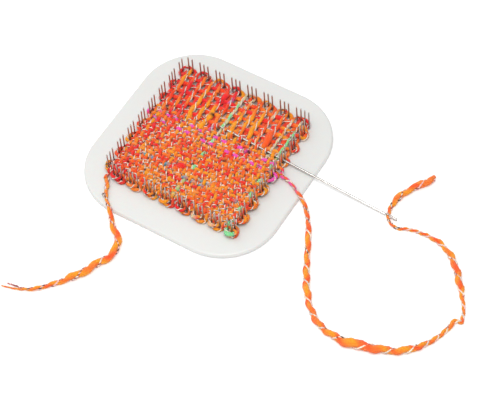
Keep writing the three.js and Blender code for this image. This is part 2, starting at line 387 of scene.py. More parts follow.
def drawn_steel(name, colour, roughness, stretch, grain=0.5):
    """Steel with fine lines along its length, which runs along the stretched axis."""
    shader = Shader(name)
    mapping = shader.add("ShaderNodeMapping", {"Vector": shader.object_point(), "Scale": stretch})
    lines = shader.noise(mapping.outputs["Vector"], 1800.0, 4.0, 0.6)
    tarnish = shader.noise(shader.object_point(), 420.0, 3.0)
    base = shader.mix(tarnish, (*[c * 0.8 for c in colour], 1), (*colour, 1))
    rough = shader.add("ShaderNodeMapRange", {
        "Value": lines, "To Min": roughness * 0.75, "To Max": roughness * 1.3,
    })
    return shader.finish(
        Base_Color=base,
        Metallic=1.0,
        Roughness=rough.outputs["Result"],
        Normal=shader.bump(lines, 0.00001, grain),
    )


def dyed_fibre(name, sheen, fibre_depth):
    """Soft spun fibre: colour from the yarn's own dye, with fine fibres that follow the twist."""
    shader = Shader(name)
    dye = shader.add("ShaderNodeAttribute", attribute_name="dye").outputs["Color"]
    strand = shader.add("ShaderNodeAttribute", attribute_name="strand").outputs["Vector"]
    fibres = shader.add("ShaderNodeMapping", {"Vector": strand, "Scale": (5.0, 3.2, 3.2)})
    streaks = shader.noise(fibres.outputs["Vector"], 2.2, 5.0, 0.65)
    fine = shader.add("ShaderNodeMapping", {"Vector": strand, "Scale": (16.0, 11.0, 11.0)})
    fluff = shader.noise(fine.outputs["Vector"], 2.0, 4.0, 0.7)
    shade = shader.ramp(streaks, [(0.26, (0.84, 0.66, 0.62)), (0.45, (1.0, 0.97, 0.97)),
                                  (0.72, (1.0, 1.25, 1.3))])
    tinted = shader.mix(0.85, dye, shade, "MULTIPLY")
    height = shader.add("ShaderNodeMath", {0: streaks, 1: fluff}, operation="ADD")
    return shader.finish(
        Base_Color=tinted,
        Roughness=0.92,
        Normal=shader.bump(height.outputs["Value"], fibre_depth, 0.9),
        Sheen_Weight=sheen,
        Sheen_Roughness=0.45,
        Specular_IOR_Level=0.25,
        Subsurface_Weight=0.5,
        Subsurface_Radius=(1.0, 0.32, 0.1),
        Subsurface_Scale=1.6 * MM,
    )


def metallic_thread():
    """Thin cream and silver thread with a tight twist of its own."""
    shader = Shader("cream_metallic_thread")
    dye = shader.add("ShaderNodeAttribute", attribute_name="dye").outputs["Color"]
    strand = shader.add("ShaderNodeAttribute", attribute_name="strand").outputs["Vector"]
    mapping = shader.add("ShaderNodeMapping", {"Vector": strand, "Scale": (30.0, 1.2, 1.2)})
    twist = shader.noise(mapping.outputs["Vector"], 1.5, 2.0)
    glint = shader.ramp(twist, [(0.35, (0.55, 0.5, 0.48)), (0.6, (1.1, 1.1, 1.08))])
    tinted = shader.mix(0.7, dye, glint, "MULTIPLY")
    return shader.finish(
        Base_Color=tinted,
        Metallic=0.25,
        Roughness=0.42,
        Normal=shader.bump(twist, 0.00008, 0.8),
        Sheen_Weight=0.2,
    )


def stray_fibre():
    """Fine loose hairs, mostly orange."""
    shader = Shader("stray_fibre")
    tone = shader.noise(shader.object_point(), 260.0, 2.0)
    base = shader.ramp(tone, [(0.3, from_hex("fd7a40")), (0.5, from_hex("ffa24c")),
                              (0.7, from_hex("ffc890"))])
    return shader.finish(Base_Color=base, Roughness=0.8, Sheen_Weight=0.3)


# ---------------------------------------------------------------- yarn

DYES = {
    "orange": from_hex("ff7e34"),
    "deep_orange": from_hex("fd6030"),
    "amber": from_hex("ffa028"),
    "apricot": from_hex("ff9658"),
    "vermilion": from_hex("f8482c"),
    "red": from_hex("f02a3c"),
    "pink": from_hex("fb52b6"),
    "rose_pink": from_hex("ff7c98"),
    "green": from_hex("88dc98"),
    "straw": from_hex("dcc8a0"),
    "teal": from_hex("2f9fb8"),
    "violet": from_hex("b070b4"),
    "black": from_hex("140e10"),
}
VIVID = ("pink", "green", "teal", "violet", "straw", "black")
PAINTED_SHADE_TINT = np.array((1.0, 0.95, 0.58))  # painted shade: the oranges look deeper where the yarn is packed, so their blue is cut here, against the sheen and reflections on the cloth
THREAD_TONES = {
    "cream": from_hex("fff4e0"),
    "silver": from_hex("e6e0da"),
    "blush": from_hex("f8c8c4"),
    "rust": from_hex("8a3028"),
    "rose": from_hex("b86a68"),
    "dark": from_hex("2a1a1c"),
}


def wander(rng, length, step):
    """Smooth uneven values between -1 and 1, a function of the place along a length."""
    count = int(length / step) + 4
    values = [rng.uniform(-1, 1) for _ in range(count)]

    def at(place):
        t = min(max(place / step, 0), count - 2.001)
        i = int(t)
        f = t - i
        f = f * f * (3 - 2 * f)
        return values[i] * (1 - f) + values[i + 1] * f

    return at


def smooth_line(points, step):
    """Evenly spaced points on a smooth curve through the given ones."""
    p = np.asarray(points, float)
    p = np.vstack([2 * p[0] - p[1], p, 2 * p[-1] - p[-2]])
    t = np.linspace(0, 1, 10, endpoint=False)[:, None]
    dense = []
    for a, b, c, d in zip(p[:-3], p[1:-2], p[2:-1], p[3:]):
        dense.append(
            0.5 * (2 * b + (c - a) * t + (2 * a - 5 * b + 4 * c - d) * t**2
                   + (3 * b - a - 3 * c + d) * t**3)
        )
    dense = np.vstack([*dense, p[-2][None]])
    along = np.concatenate([[0], np.cumsum(np.linalg.norm(np.diff(dense[:, :3], axis=0), axis=1))])
    places = np.linspace(0, along[-1], max(4, int(along[-1] / step)))
    line = np.column_stack([np.interp(places, along, dense[:, k]) for k in range(p.shape[1])])
    return line, places


def carried_frames(line):
    """Two directions across a line at each of its points, turned as little as possible."""
    tangents = np.gradient(line, axis=0)
    tangents /= np.linalg.norm(tangents, axis=1)[:, None]
    side = np.cross(tangents[0], (0, 0, 1))
    side /= np.linalg.norm(side)
    sides = []
    for tangent in tangents:
        side = side - tangent * side.dot(tangent)
        side /= np.linalg.norm(side)
        sides.append(side)
    sides = np.array(sides)
    return sides, np.cross(tangents, sides)


SECTIONS = {}


def section_curve(corners, lobes, skew):
    """The closed outline that a strand is swept from: two shallow lobes, a little uneven."""
    key = (corners, lobes, skew)
    if key not in SECTIONS:
        curve = bpy.data.curves.new("strand_section", "CURVE")
        curve.dimensions = "2D"
        spline = curve.splines.new("POLY")
        spline.points.add(corners - 1)
        spline.use_cyclic_u = True
        for i, point in enumerate(spline.points):
            angle = 2 * math.pi * i / corners
            radius = 1 + lobes * math.cos(2 * angle) + skew * math.sin(3 * angle)
            point.co = (radius * math.cos(angle), radius * math.sin(angle), 0, 1)
        SECTIONS[key] = bpy.data.objects.new("strand_section", curve)
    return SECTIONS[key]


def curve_to_mesh(curve, name):
    """The mesh that a curve stands for, without keeping the curve."""
    swept = bpy.data.objects.new(name, curve)
    bpy.context.scene.collection.objects.link(swept)
    bpy.context.view_layer.update()
    mesh = bpy.data.meshes.new_from_object(swept.evaluated_get(
        bpy.context.evaluated_depsgraph_get()))
    mesh.name = name
    bpy.data.objects.remove(swept)
    mesh.polygons.foreach_set("use_smooth", [True] * len(mesh.polygons))
    return mesh


def sweep(name, line, radii, turns, dyes, places, corners=9, lobes=0.1, skew=0.05, edge=1.0):
    """A closed strand along a line. dyes gives two colours at each point, for its two flanks."""
    curve = bpy.data.curves.new(name, "CURVE")
    curve.dimensions = "3D"
    curve.twist_mode = "MINIMUM"
    curve.bevel_mode = "OBJECT"
    curve.bevel_object = section_curve(corners, lobes, skew)
    curve.use_fill_caps = True
    spline = curve.splines.new("POLY")
    spline.points.add(len(line) - 1)
    spline.points.foreach_set("co", np.column_stack([line, np.ones(len(line))]).ravel())
    spline.points.foreach_set("radius", np.asarray(radii, float))
    spline.points.foreach_set("tilt", np.asarray(turns, float))
    mesh = curve_to_mesh(curve, name)
    ring = np.minimum(np.arange(len(mesh.vertices)) // corners, len(line) - 1)
    angle = 2 * math.pi * (np.arange(len(mesh.vertices)) % corners) / corners
    share = np.clip(0.5 + 0.5 * np.cos(angle) / edge, 0, 1)[:, None]
    first, second = np.asarray(dyes[0])[ring], np.asarray(dyes[1])[ring]
    colour = np.column_stack([first * share + second * (1 - share), np.ones(len(ring))])
    mesh.attributes.new("dye", "FLOAT_COLOR", "POINT").data.foreach_set("color", colour.ravel())
    strand = np.column_stack([np.asarray(places)[ring] / (10 * MM), np.cos(angle), np.sin(angle)])
    mesh.attributes.new("strand", "FLOAT_VECTOR", "POINT").data.foreach_set(
        "vector", strand.ravel())
    return mesh


def base_dye(place, tone, patch, lean=0.0):
    """Dye at a place along the yarn: mostly oranges, with stretches of amber and red."""
    value = 0.7 * tone(place) + 0.9 * patch(place) + lean
    steps = [(-0.6, "red"), (-0.34, "vermilion"), (-0.1, "deep_orange"), (0.27, "orange"),
             (0.8, "amber"), (9, "apricot")]
    return next(DYES[name] for limit, name in steps if value < limit)


def dye_with_painted_shade(marked, plain):
    """The dye of a stretch that stands out, or else the plain one, with painted shade that deepens
    it as packed yarn looks.
    """
    if marked in VIVID:
        return np.array(DYES[marked])
    return PAINTED_SHADE_TINT * np.array(DYES[marked] if marked else plain)


def blur(colours, width):
    """Softens the change from one colour to the next along a strand."""
    kernel = np.ones(width) / width
    padded = np.pad(colours, ((width // 2, width - 1 - width // 2), (0, 0)), mode="edge")
    return np.column_stack([np.convolve(padded[:, k], kernel, "valid") for k in range(3)])


def thread_dyes(rng, count, weights):
    """Colours along one ply of the thin thread: mostly pale, with short darker marks."""
    names = []
    while len(names) < count:
        name = rng.choices(list(THREAD_TONES), weights=weights)[0]
        names += [name] * rng.randint(4, 12)
    return np.array([THREAD_TONES[name] for name in names[:count]])


def add_stray_fibres(name, line, radii, count, material, rng, body):
    """Fine hairs that stand off the yarn's surface."""
    sides, ups = carried_frames(line)
    tangents = np.gradient(line, axis=0)
    tangents /= np.linalg.norm(tangents, axis=1)[:, None]
    curve = bpy.data.curves.new(name, "CURVE")
    curve.dimensions = "3D"
    curve.bevel_depth = 0.028 * MM
    curve.bevel_resolution = 0
    for _ in range(count):
        i = rng.randrange(2, len(line) - 2)
        angle = rng.uniform(0, 2 * math.pi)
        out = math.cos(angle) * sides[i] + math.sin(angle) * ups[i]
        across = np.cross(tangents[i], out)
        reach = rng.uniform(0.3, 1.3) * MM
        drift = rng.choice((-1, 1)) * rng.uniform(0.8, 2.6) * MM
        sway = rng.uniform(-0.9, 0.9) * MM
        spline = curve.splines.new("POLY")
        spline.points.add(3)
        for point, t in zip(spline.points, (0.0, 0.35, 0.7, 1.0)):
            place = (line[i] + out * (radii[i] * 0.85 + reach * math.sin(1.9 * t))
                     + tangents[i] * drift * t + across * sway * t * t)
            place[2] = max(place[2], 0.1 * MM)
            point.co = (*place, 1)
            point.radius = 1.25 - 0.9 * t
    return add_mesh_piece(name, curve_to_mesh(curve, name), material, body, "yarn")


# How often each of the thread's tones comes up, for its pale ply and its mixed one.
THREAD_MIX = ((60, 36, 4, 0, 0, 0), (20, 22, 14, 26, 0, 18))
SOFT_THREAD_MIX = ((40, 50, 10, 0, 0, 0), (20, 40, 14, 10, 6, 10))
ROSY_THREAD_MIX = ((20, 30, 50, 0, 0, 0), (0, 14, 30, 18, 22, 16))


def spin_yarn(name, line, places, radii, dyes, settings, rng, body, nodes=(), part_ways=None,
              looseness=1.0, pulled=0.0, thread_mix=THREAD_MIX, slack=None):
    """The soft single and the thin thread twisted round it. Returns both pieces.

    pulled is how taut the yarn lies at each point, from 0 to 1: its twist runs longer there.
    slack is a stretch, start and end, where the thread stands off by the given step.
    """
    radii = np.asarray(radii)
    sides, ups = carried_frames(line)
    thin = settings.thread_diameter / 2 * looseness ** 1.8
    uneven = wander(rng, places[-1], 12 * MM)
    twist = np.array([1 + 0.22 * uneven(place) for place in places])
    twist *= looseness * settings.twist_per_diameter * 2 * (radii + 0.5 * thin)
    twist *= 1 + 0.6 * np.asarray(pulled)
    phase = rng.uniform(0, 6) - np.concatenate(
        [[0], np.cumsum(2 * math.pi * np.diff(places) / twist[1:])])
    around = np.cos(phase)[:, None] * sides + np.sin(phase)[:, None] * ups
    offset = settings.waviness * radii + 0.4 * thin
    apart = np.zeros(len(places))
    if part_ways:
        apart = np.clip((places - places[-1] + part_ways[0]) / part_ways[0], 0, 1)
        apart = apart ** 2 * (3 - 2 * apart)
        offset = offset * (1 - 0.9 * apart)
    core = line + around * offset[:, None]
    core[:, 2] = np.maximum(core[:, 2], 1.13 * radii)
    mesh = sweep(name, core, radii, -phase, dyes, places)
    soft = add_mesh_piece(name, mesh, bpy.data.materials["thick_thin_yarn"], body, "yarn", *nodes)

    thread_line = line - around * ((radii + 0.55 * thin - offset) * (1 - apart))[:, None]
    thread_line += apart[:, None] * np.array(part_ways[1] if part_ways else (0, 0, 0))
    if slack:
        share = np.clip((places - slack[0]) / (slack[1] - slack[0]), 0, 1)
        thread_line += np.sin(math.pi * share)[:, None] ** 2 * np.array(slack[2])
    thread_line[:, 2] = np.maximum(thread_line[:, 2], 1.3 * thin)
    fine = np.linspace(0, places[-1], int(places[-1] / (0.42 * MM)))
    fine_line = np.column_stack([np.interp(fine, places, thread_line[:, k]) for k in range(3)])
    pale = thread_dyes(rng, len(fine), thread_mix[0])
    mixed = thread_dyes(rng, len(fine), thread_mix[1])
    pale[np.interp(fine, places, apart) > 0.25] = THREAD_TONES["rose"]
    mesh = sweep(name + "_thread", fine_line, np.full(len(fine), thin),
                 2 * math.pi * fine / (2.5 * MM), (pale, mixed), fine, corners=8, lobes=0.24,
                 skew=0.0, edge=0.45)
    thread = add_mesh_piece(name + "_thread", mesh, bpy.data.materials["cream_metallic_thread"],
                            body, "yarn")
    return soft, thread


# ---------------------------------------------------------------- the weave


def thread_height(kind, x, y, settings, needle_height):
    """Height of a thread's middle above the board at a crossing."""
    middle_height, crimp = settings.cloth_middle, settings.crimp
    if kind == "first":
        open_height = middle_height - 2.3 * crimp
        woven = middle_height + (crimp if is_woven_row(y) else -crimp)
    elif kind == "second":
        open_height = middle_height + 1.3 * crimp
        woven = middle_height + (-crimp if is_woven_row(y) else crimp)
    elif kind == "cross":
        over = abs((x - 0.5) % 2) < 0.25
        open_height = middle_height - 0.5 * crimp
        woven = middle_height + (crimp if over else -crimp)
    else:
        over = abs((x - 1.5) % 2) < 0.25
        return middle_height + (crimp if over else -crimp)
    if kind in ("first", "second") and abs(y - NEEDLE_ROW) < 0.3 and x > needle_tip_pitch() - 0.4:
        clear = 1.75 * MM
        return needle_height + (clear if kind == "first" else -clear)
    if y < WOVEN_TO:
        return woven
    share = min((y - WOVEN_TO) / OPENING_PITCHES, 1)
    return woven * (1 - share) + open_height * share


NEEDLE_ROW = 20.5
OPENING_PITCHES = 3.0  # the layers spread to their open heights over this many pitches


def is_woven_row(y):
    return abs((y - 0.5) % 2) < 0.25 or abs((y - 0.5) % 2) > 1.75


def needle_tip_pitch():
    return (NEEDLE_LOW.x - LEFT_ROW_X) / PITCH


def needle_height_at(x):
    """Height of the needle's middle above the board, x pitches from the left row."""
    from_eye = (NEEDLE_HIGH.x - (LEFT_ROW_X + x * PITCH)) / -NEEDLE_AXIS.x
    return NEEDLE_LOW.z + 1.15 * MM + from_eye * NEEDLE_AXIS.z - BOARD_TOP


def turn(side, start, low, reach=0.68):
    """Points round the outside of two pins, from a thread's place to the one two pitches on."""
    out = [(0.02, 0.0), (0.22, 0.62), (0.62, 0.95), (1.0, 1.05), (1.38, 0.95), (1.78, 0.62),
           (1.98, 0.0)]
    edge, sign = (PITCHES, 1) if side in ("far", "right") else (0, -1)
    points = []
    for along, away in out:
        outside = edge + sign * away * reach
        spot = (start + along, outside) if side in ("near", "far") else (outside, start + along)
        points.append((*spot, low))
    return points


def run(kind, fixed, forward, settings):
    """Points along one thread between the pin rows."""
    places = [k + 0.5 for k in range(PITCHES)]
    if not forward:
        places.reverse()
    points = []
    for place in places:
        x, y = (fixed, place) if kind in ("first", "second") else (place, fixed)
        points.append((x, y, thread_height(kind, x, y, settings, needle_height_at(x))))
    return points


def first_layer(settings):
    low = 1.7 * MM
    points = [(0.5, -1.45, 2.3 * MM), (0.5, -0.7, 2.0 * MM), (0.5, 0.0, low)]
    for i in range(16):
        x = 0.5 + 2 * i
        points += run("first", x, i % 2 == 0, settings)
        if i < 15:
            points += turn("far" if i % 2 == 0 else "near", x, low)
    return points + [(30.5, 0.0, low), (30.75, -0.55, low), (31.25, -0.62, low),
                     (31.62, -0.25, low), (31.66, 0.5, low), (31.6, 1.15, low)]


def cross_layer(settings):
    low = 2.0 * MM
    points = [(31.66, 0.5, 1.7 * MM), (31.6, 1.1, low), (31.2, 1.5, low)]
    for i in range(15):
        y = 1.5 + 2 * i
        points += run("cross", y, i % 2 == 1, settings)
        if i < 14:
            points += turn("left" if i % 2 == 0 else "right", y, low)
    return points + [(0.0, 29.5, low), (-0.5, 29.75, low), (-0.62, 30.4, 2.6 * MM)]


def second_layer(settings):
    low = 4.3 * MM
    points = [(-0.5, 29.75, 2.0 * MM), (-0.62, 30.4, 2.6 * MM), (-0.35, 31.2, 3.4 * MM),
              (0.35, 31.62, 4.0 * MM), (1.1, 31.55, low), (1.5, 31.0, low)]
    for i in range(15):
        x = 1.5 + 2 * i
        points += run("second", x, i % 2 == 1, settings)
        if i < 14:
            points += turn("near" if i % 2 == 0 else "far", x, low, 0.74)
    return points + [(29.5, 0.0, low), (29.85, -0.62, low), (30.6, -0.78, low),
                     (31.35, -0.7, low), (31.72, -0.1, low)]


def woven_rows(settings):
    low = 4.5 * MM
    points = [(31.35, -0.7, 4.3 * MM), (31.72, -0.1, low), (31.5, 0.4, low), (31.0, 0.5, low)]
    for i in range(10):
        y = 0.5 + 2 * i
        points += run("woven", y, i % 2 == 1, settings)
        if i < 9:
            points += turn("left" if i % 2 == 0 else "right", y, low, 0.72)
    return points + [(31.0, 18.5, low), (31.7, 18.3, 4.2 * MM), (32.2, 17.8, 3.8 * MM),
                     (32.45, 17.26, 3.6 * MM)]


def accent(kind, x, y):
    """Dye of the few stretches that stand out from the oranges, or None. The reds of the first and
    cross layers where they lie open are partly painted shade.
    """
    if kind == ("second" if y > 20 else "woven") and any(
            math.hypot(x - at_x, y - at_y) < (0.24 if y > 20 else 0.4) for at_x, at_y in KNOTS):
        return "black"
    if kind == "woven" and x < 0 and y < 3.2:
        return "amber"
    if kind == "woven" and x > 31 and 14.6 < y < 17:
        return "pink"
    if kind == "woven" and y > 15.7:
        return "pink" if int(x * 0.7 + y) % 4 != 0 else None
    if kind == "second" and y > 30.4:
        return "red" if x < 3 or 11 < x < 14.6 else "straw" if 14.6 < x < 17 else None
    if kind == "second" and y > WOVEN_TO and 1 < x < 30:
        return open_stretch(x, y)[1]
    if kind == "second" and abs(x - 15.5) < 0.6 and y > 2 and int(y * 0.55 + 0.8) % 2 == 0:
        return "green"
    if kind == "second" and x > 29.0 and (y < 0.6 or int(y * 0.5) % 2 == 0):
        return "green"
    if kind == "second" and y < 0 and (abs(x - 22.5) < 0.5 or abs(x - 26.8) < 0.3):
        return "straw"
    if kind == "woven" and abs(y - 6.5) < 0.5 and int(x) in (15, 17, 19, 28):
        return "teal"
    if kind == "cross" and abs(y - 7.5) < 0.5 and int(x) in (5, 7, 10, 19, 20):
        return "teal"
    if kind == "second" and x < 4.2 and y < 2.5:
        return "red"
    # Where no rows cover them yet, the first and cross layers turn red and vermilion: partly the
    # yarn's own reds, partly painted shade for the reddish-brown shadow in the gaps between the
    # open threads.
    if kind == "first" and y > 20 and (x < 14 or int(x * 0.5 + y) % 3 == 0):
        return "vermilion" if int(y + x) % 3 else "red"
    if kind == "cross" and y > 20 and (x < 12 or int(x * 0.6 + y) % 5 == 0):
        return "red" if int(x + y) % 4 < 2 else "vermilion"
    return None


# The second layer where no rows cover it yet. For each of its threads, from the far row
# towards the needle: the place where a stretch ends, its dye and how thick it is.
OPEN_STRETCHES = {
    1: ((27, "amber", 1.1), (24, "orange", 1.0), (21.5, "vermilion", 0.95),
        (WOVEN_TO, "orange", 1.0)),
    3: ((28.8, "deep_orange", 0.95), (24, "red", 1.05), (21, "orange", 1.0),
        (WOVEN_TO, "red", 1.0)),
    5: ((26.5, "orange", 0.95), (25, "vermilion", 0.95), (22, "orange", 0.95),
        (WOVEN_TO, "red", 1.0)),
    7: ((28, "orange", 0.95), (25.5, "amber", 0.95), (23.2, "amber", 1.1),
        (WOVEN_TO, "amber", 1.35)),
    9: ((28.8, "deep_orange", 0.95), (25, "orange", 1.15), (20.8, "amber", 1.2),
        (WOVEN_TO, "orange", 1.1)),
    11: ((29.3, "vermilion", 0.9), (25.7, "red", 1.75), (23.2, "amber", 1.2),
         (WOVEN_TO, "amber", 1.75)),
    13: ((28, "red", 1.0), (26.6, "violet", 0.85), (24, "vermilion", 0.95), (20.5, "orange", 1.0),
         (WOVEN_TO, "violet", 0.9)),
    15: ((28.4, "straw", 0.7), (27.2, "green", 0.85), (25.6, "straw", 0.7), (24.0, "green", 0.9),
         (23.0, "straw", 0.75), (21.3, "green", 0.9), (WOVEN_TO, "straw", 0.75)),
    17: ((28.6, "straw", 0.7), (25.4, "orange", 0.75), (24, "amber", 1.05),
         (WOVEN_TO, "amber", 1.4)),
    19: ((27.6, "orange", 0.95), (24, "amber", 1.2), (21.6, "orange", 1.0),
         (WOVEN_TO, "amber", 0.9)),
    21: ((28, "orange", 0.95), (25.6, "amber", 1.05), (21, "amber", 1.45),
         (WOVEN_TO, "orange", 1.0)),
    23: ((28.5, "straw", 0.7), (23.5, "deep_orange", 0.75), (WOVEN_TO, "apricot", 0.75)),
    25: ((27.4, "orange", 0.95), (24.6, "deep_orange", 1.05), (20.8, "deep_orange", 2.0),
         (WOVEN_TO, "amber", 1.0)),
    27: ((28, "straw", 0.65), (25.6, "apricot", 0.55), (WOVEN_TO, "straw", 0.6)),
    29: ((28.4, "straw", 0.65), (27.2, "black", 0.6), (23.4, "green", 0.75),
         (WOVEN_TO, "green", 0.75)),
}


def open_stretch(x, y):
    """The stretch of the open second layer that holds a place."""
    thread = min(max(2 * int((x - 0.5) / 2) + 1, 1), 29)
    return next(part for part in OPEN_STRETCHES[thread] if y >= part[0] or part[0] == WOVEN_TO)


def open_thickness(kind, x, y):
    """How thick the second layer is where it lies open, eased from one stretch to the next."""
    if kind != "second" or y < WOVEN_TO or not 1 < x < 30:
        return None
    steps = (-0.6, -0.3, 0, 0.3, 0.6)
    return sum(open_stretch(x, max(y + step, WOVEN_TO))[2] for step in steps) / 5


# Places where the yarn swells into a soft lump: layer, x, y, half length, how much thicker.
LUMPS = (
    ("woven", 12.8, 8.5, 1.6, 1.0), ("woven", 7.2, 14.5, 1.2, 0.7), ("woven", 18.5, 4.5, 1.2, 0.6),
    ("cross", 24.5, 25.5, 2.2, 0.6), ("woven", 16.8, 8.5, 1.2, 0.6), ("woven", 4.5, 4.5, 1.2, 0.5),
)


HAIRS_PER_LAYER = 2600
FLECK_CHANCE = 0.004  # of a dark fleck, at each point of a strand
OPEN_SPREAD = {"first": 1.55, "cross": 1.3}  # how much wider the lower layers lie where open

# Small dark knots of the yarn, in pitches.
KNOTS = ((9.6, 25.4), (11.5, 23.3), (6.6, 12.3), (19.5, 23.0), (29.4, 27.9), (24.2, 18.5),
         (26.2, 14.6), (15.3, 10.4), (8.6, 0.3), (11.5, -0.6), (31.4, 2.4), (20.4, 8.4))


def lump(kind, x, y):
    return sum(
        more * max(0.0, 1 - (math.hypot(x - at_x, y - at_y) / half) ** 2) ** 1.5
        for layer, at_x, at_y, half, more in LUMPS if layer == kind
    )


# ---------------------------------------------------------------- operators


class LOOM_OT_stage(bpy.types.Operator):
    """Add the table, soft lights and the camera"""

    bl_idname = "loom.stage"
    bl_label = "Stage"

    def execute(self, context):
        settings = context.scene.loom_stage
        floor = bmesh.new()
        bmesh.ops.create_grid(floor, x_segments=1, y_segments=1, size=4.0)
        shader = Shader("table")
        speckle = shader.noise(shader.object_point(), 220.0)
        base = shader.mix(speckle, (*[c * 0.99 for c in settings.floor_colour], 1),
                          (*settings.floor_colour, 1))
        material = shader.finish(
            Base_Color=base, Roughness=0.8, Specular_IOR_Level=0.2,
            Emission_Color=(1, 1, 1, 1), Emission_Strength=settings.floor_glow,
        )
        mesh = to_mesh(floor, "table", smooth=False)
        table = bpy.data.objects.new("table", mesh)
        mesh.materials.append(material)
        context.scene.collection.objects.link(table)

        world = bpy.data.worlds.new("studio")
        world.use_nodes = True
        world.node_tree.nodes["Background"].inputs["Color"].default_value = (1, 1, 1, 1)
        world.node_tree.nodes["Background"].inputs["Strength"].default_value = 0.5
        context.scene.world = world
        for name, place, size, power in (
            ("key_light", (0.3, -0.42, 1.42), 0.7, 15.0),
            ("fill_light", (-0.8, -0.1, 1.2), 1.3, 6.5),
        ):
            light = bpy.data.lights.new(name, "AREA")
            light.size = size
            light.energy = power
            lamp = bpy.data.objects.new(name, light)
            lamp.location = place
            lamp.rotation_mode = "QUATERNION"
            lamp.rotation_quaternion = (-Vector(place)).to_track_quat("-Z", "Y")
            context.scene.collection.objects.link(lamp)

        target = Vector(settings.target)
        level = settings.distance * math.cos(settings.elevation)
        place = target + Vector((
            level * math.sin(settings.azimuth),
            -level * math.cos(settings.azimuth),
            settings.distance * math.sin(settings.elevation),
        ))
        camera_data = bpy.data.cameras.new("camera")
        camera_data.sensor_width = 36
        camera_data.lens = settings.lens
        camera_data.clip_end = 20
        camera = bpy.data.objects.new("camera", camera_data)
        camera.location = place
        aim = (target - place).to_track_quat("-Z", "Y")
        camera.rotation_mode = "QUATERNION"
        camera.rotation_quaternion = aim @ Quaternion((0, 0, 1), settings.roll)
        context.scene.collection.objects.link(camera)
        context.scene.camera = camera
        context.scene.view_settings.view_transform = "Standard"
        return {"FINISHED"}


def tail_thickness(table, shares):
    places, diameters = zip(*table)
    return np.interp(shares, places, diameters) * MM / 2


def tail_line(route, thickness, step):
    """The free yarn's middle line, which lies on its own thickness, with its radii."""
    line, places = smooth_line(route, step)
    radii = tail_thickness(thickness, places / places[-1])
    line[:, 2] += radii - ROUTE_RADIUS + 0.25 * MM
    return line, places, radii


class LOOM_OT_tails(bpy.types.Operator):
    """Add the yarn's start tail, the working yarn and its free end"""

    bl_idname = "loom.tails"
    bl_label = "Yarn ends"

    def execute(self, context):
        settings = context.scene.loom_yarn
        dyed_fibre("thick_thin_yarn", 0.18, 0.00035)
        metallic_thread()
        rng = random.Random(settings.seed + 40)
        stray = stray_fibre()
        through_eye = [(0.1298, 0.0134, 0.0020)] + FREE_END
        for name, node, route, thickness, body, part_ways in (
            ("start_tail_yarn", "start_tail", START_TAIL, START_TAIL_THICKNESS, "weaving",
             (24 * MM, (0.0022, 0.0034, 0.0))),
            ("working_yarn_strand", "working_yarn", WORKING_YARN, WORKING_THICKNESS, None, None),
            ("free_end_yarn", "yarn_free_end", through_eye, FREE_END_THICKNESS, "needle",
             (9 * MM, (0.0016, -0.0022, 0.0))),
        ):
            line, places, radii = tail_line(route, thickness, 0.55 * MM)
            tone = wander(rng, places[-1], 14 * MM)
            streak = wander(rng, places[-1], 8 * MM)
            warm = np.array([DYES["amber"] if tone(s) < 0.1 else DYES["orange"] for s in places])
            cool = np.array([DYES["deep_orange"] if streak(s) < 0.1 else DYES["orange"]
                             for s in places])
            if body is None:
                pink = (places < 22 * MM) & (np.array([tone(3 * s) for s in places]) > -0.5)
                warm[pink] = DYES["pink"]
                rosy = (places < 50 * MM) & (np.array([streak(s) for s in places]) > 0)
                cool[rosy] = DYES["rose_pink"]
            dyes = (blur(warm, 9), blur(cool, 9))
            radii = radii * (1 + 0.05 * np.array([streak(s) for s in places]))
            mix = SOFT_THREAD_MIX if body is None else ROSY_THREAD_MIX
            slack = (5 * MM, 21 * MM, (-0.0017, -0.0006, 0.0003)) if body == "weaving" else None
            pieces = list(spin_yarn(name, line, places, radii, dyes, settings, rng, body, (node,),
                                    part_ways, looseness=1.2, thread_mix=mix, slack=slack))
            pieces.append(add_stray_fibres(name + "_fibres", line, radii,
                                           int(places[-1] / (0.22 * MM)), stray, rng, body))
            if body is None:
                for piece in pieces:
                    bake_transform(piece)
        return {"FINISHED"}


class LOOM_OT_board(bpy.types.Operator):
    """Add the board: one moulded plate with round corners and a soft rim"""

    bl_idname = "loom.board"
    bl_label = "Board"

    def execute(self, context):
        settings = context.scene.loom_board
        shape = bmesh.new()
        half = (BOARD_HIGH.x - BOARD_LOW.x) / 2
        bmesh.ops.create_grid(shape, x_segments=1, y_segments=1, size=half)
        bmesh.ops.bevel(shape, geom=shape.verts[:], offset=settings.corner_radius,
                        offset_type="OFFSET", affect="VERTICES", segments=28, profile=0.5,
                        material=-1)
        raised = bmesh.ops.extrude_face_region(shape, geom=shape.faces[:])
        upper = [v for v in raised["geom"] if isinstance(v, bmesh.types.BMVert)]
        bmesh.ops.translate(shape, verts=upper, vec=(0, 0, BOARD_HIGH.z - BOARD_LOW.z))
        rims = [e for e in shape.edges if abs(e.verts[0].co.z - e.verts[1].co.z) < 1e-6]
        bmesh.ops.bevel(shape, geom=rims, offset=settings.edge_round, offset_type="OFFSET",
                        affect="EDGES", segments=7, profile=0.5, material=-1,
                        clamp_overlap=True)
        add_mesh_piece("board", to_mesh(shape, "board"), board_plastic(settings.colour), "loom",
                       "board", "base_board")
        return {"FINISHED"}


FREE_PLACES = {"near": 1, "far": 3, "left": 0, "right": 2}


def pin_groups(side):
    """Places of the pins along a side, in groups with one place left free between them."""
    last = PITCHES if side in ("near", "far") else PITCHES - 1
    groups = [[]]
    for k in range(1, last + 1):
        if k % 4 != FREE_PLACES[side] or k == PITCHES:
            groups[-1].append(k)
        elif groups[-1]:
            groups.append([])
    return [group for group in groups if group]


def pin_place(side, k):
    return {"near": (k, 0), "far": (k, PITCHES), "left": (0, k), "right": (PITCHES, k)}[side]


